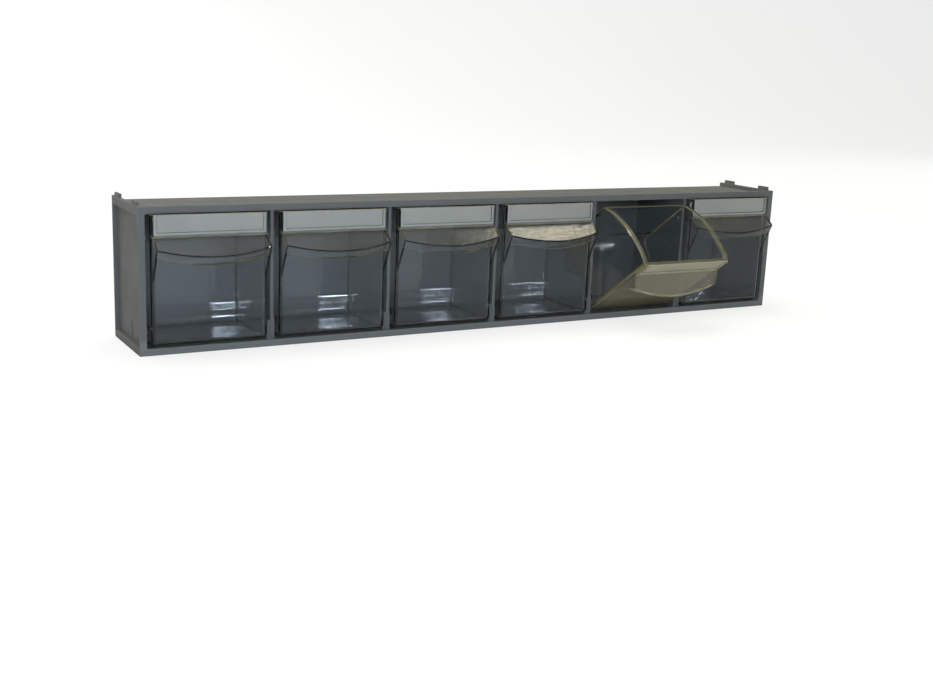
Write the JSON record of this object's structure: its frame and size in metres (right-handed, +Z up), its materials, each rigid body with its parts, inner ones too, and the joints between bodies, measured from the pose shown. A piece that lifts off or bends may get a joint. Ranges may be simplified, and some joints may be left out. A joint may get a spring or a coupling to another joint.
{
  "type": "tilt-out bin cabinet",
  "caption": "Wide, shallow storage cabinet with a row of clear cups that tip forward on low pivots; each cup has a label holder and a bowed finger pull. Stacks by tabs or screws to a wall.",
  "frame": {"origin": "centre of the cabinet's flat underside", "axes": "+X along the cabinet's width, to the right seen from the front; -Y is the front, where the cups tip out; +Z up"},
  "size_m": [0.6, 0.1419, 0.1132],
  "materials": {
    "cabinet_grey": "fine satin moulded grey",
    "clear_cup": "clear, faintly warm at the edges",
    "label_card": "light grey card"
  },
  "bodies": {
    "cabinet": {"end_panel_left": "cabinet_grey", "end_panel_right": "cabinet_grey", "top_panel": "cabinet_grey", "front_lip": "cabinet_grey", "bottom_panel": "cabinet_grey", "back_panel": "cabinet_grey", "divider_1": "cabinet_grey", "divider_2": "cabinet_grey", "divider_3": "cabinet_grey", "divider_4": "cabinet_grey", "divider_5": "cabinet_grey"},
    "bin_1": {"cup_1": "clear_cup", "label_card_1": "label_card"},
    "bin_2": {"cup_2": "clear_cup", "label_card_2": "label_card"},
    "bin_3": {"cup_3": "clear_cup", "label_card_3": "label_card"},
    "bin_4": {"cup_4": "clear_cup", "label_card_4": "label_card"},
    "bin_5": {"cup_5": "clear_cup", "label_card_5": "label_card"},
    "bin_6": {"cup_6": "clear_cup", "label_card_6": "label_card"}
  },
  "joints": [
    {"name": "bin_1_tilt", "type": "hinge", "parent": "cabinet", "child": "bin_1", "pos_m": [-0.24675, -0.029, 0.0188], "axis": [1, 0, 0], "range_deg": [0, 55]},
    {"name": "bin_2_tilt", "type": "hinge", "parent": "cabinet", "child": "bin_2", "pos_m": [-0.14805, -0.029, 0.0188], "axis": [1, 0, 0], "range_deg": [0, 55]},
    {"name": "bin_3_tilt", "type": "hinge", "parent": "cabinet", "child": "bin_3", "pos_m": [-0.04935, -0.029, 0.0188], "axis": [1, 0, 0], "range_deg": [0, 55]},
    {"name": "bin_4_tilt", "type": "hinge", "parent": "cabinet", "child": "bin_4", "pos_m": [0.04935, -0.029, 0.0188], "axis": [1, 0, 0], "range_deg": [0, 55]},
    {"name": "bin_5_tilt", "type": "hinge", "parent": "cabinet", "child": "bin_5", "pos_m": [0.14805, -0.029, 0.0188], "axis": [1, 0, 0], "range_deg": [-55, 0]},
    {"name": "bin_6_tilt", "type": "hinge", "parent": "cabinet", "child": "bin_6", "pos_m": [0.24675, -0.029, 0.0188], "axis": [1, 0, 0], "range_deg": [0, 55]}
  ]
}
